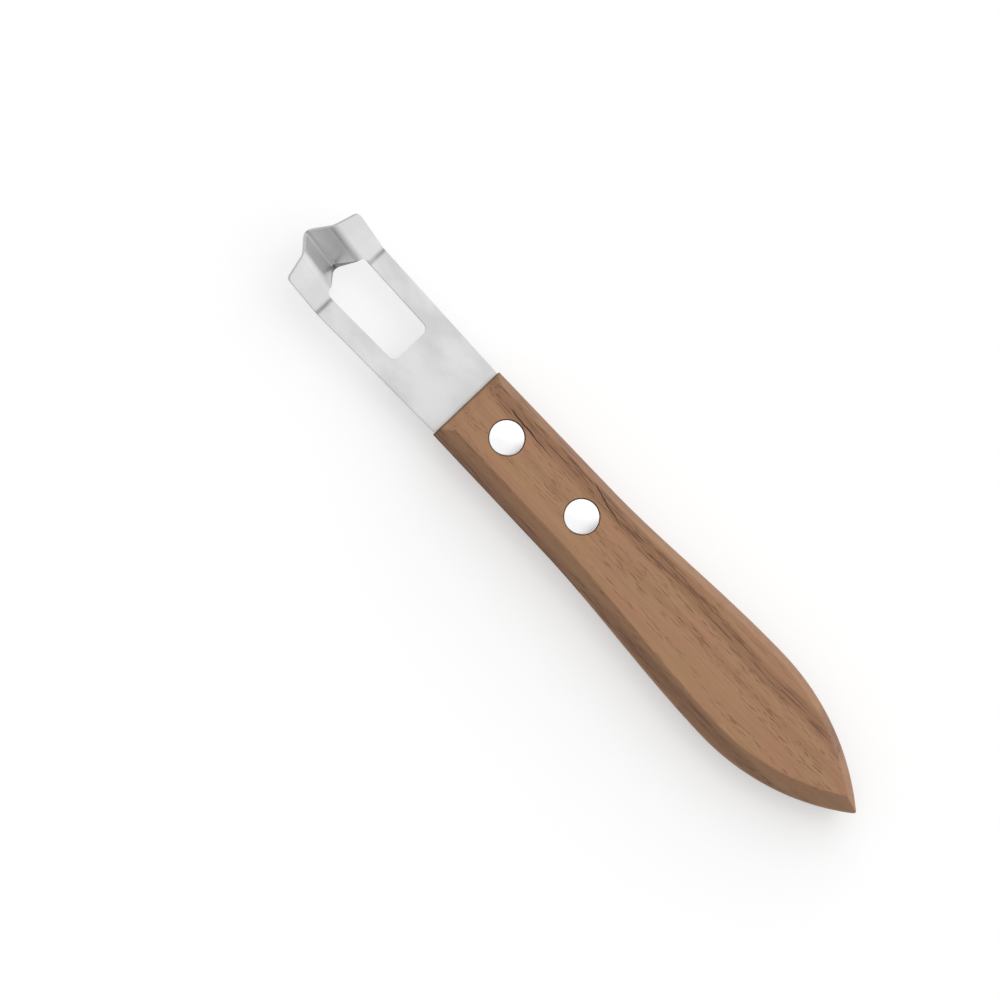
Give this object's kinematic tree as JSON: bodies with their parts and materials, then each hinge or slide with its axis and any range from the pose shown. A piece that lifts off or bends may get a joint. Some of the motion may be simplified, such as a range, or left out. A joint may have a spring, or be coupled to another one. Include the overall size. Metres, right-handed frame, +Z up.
{
  "type": "citrus peeler",
  "caption": "Hand citrus peeler: flat steel blade with a window and an upturned lip pressed into a V channel, riveted in a slotted wooden handle with a pointed tail.",
  "frame": {"origin": "middle of the overall length and width, on the plane of the handle's lower face", "axes": "+X from the blade's tip to the handle's tail, +Z up, out of the blade's hollow side"},
  "size_m": [0.151, 0.022, 0.012],
  "materials": {
    "walnut": "planed and oiled, open grain along the tool",
    "blade_steel": "satin stainless sheet",
    "rivet_metal": "bright, ground flush"
  },
  "bodies": {
    "root": {"handle": "walnut", "blade": "blade_steel", "front_rivet_sleeve": "rivet_metal", "front_rivet_post": "rivet_metal", "rear_rivet_sleeve": "rivet_metal", "rear_rivet_post": "rivet_metal"}
  },
  "joints": []
}
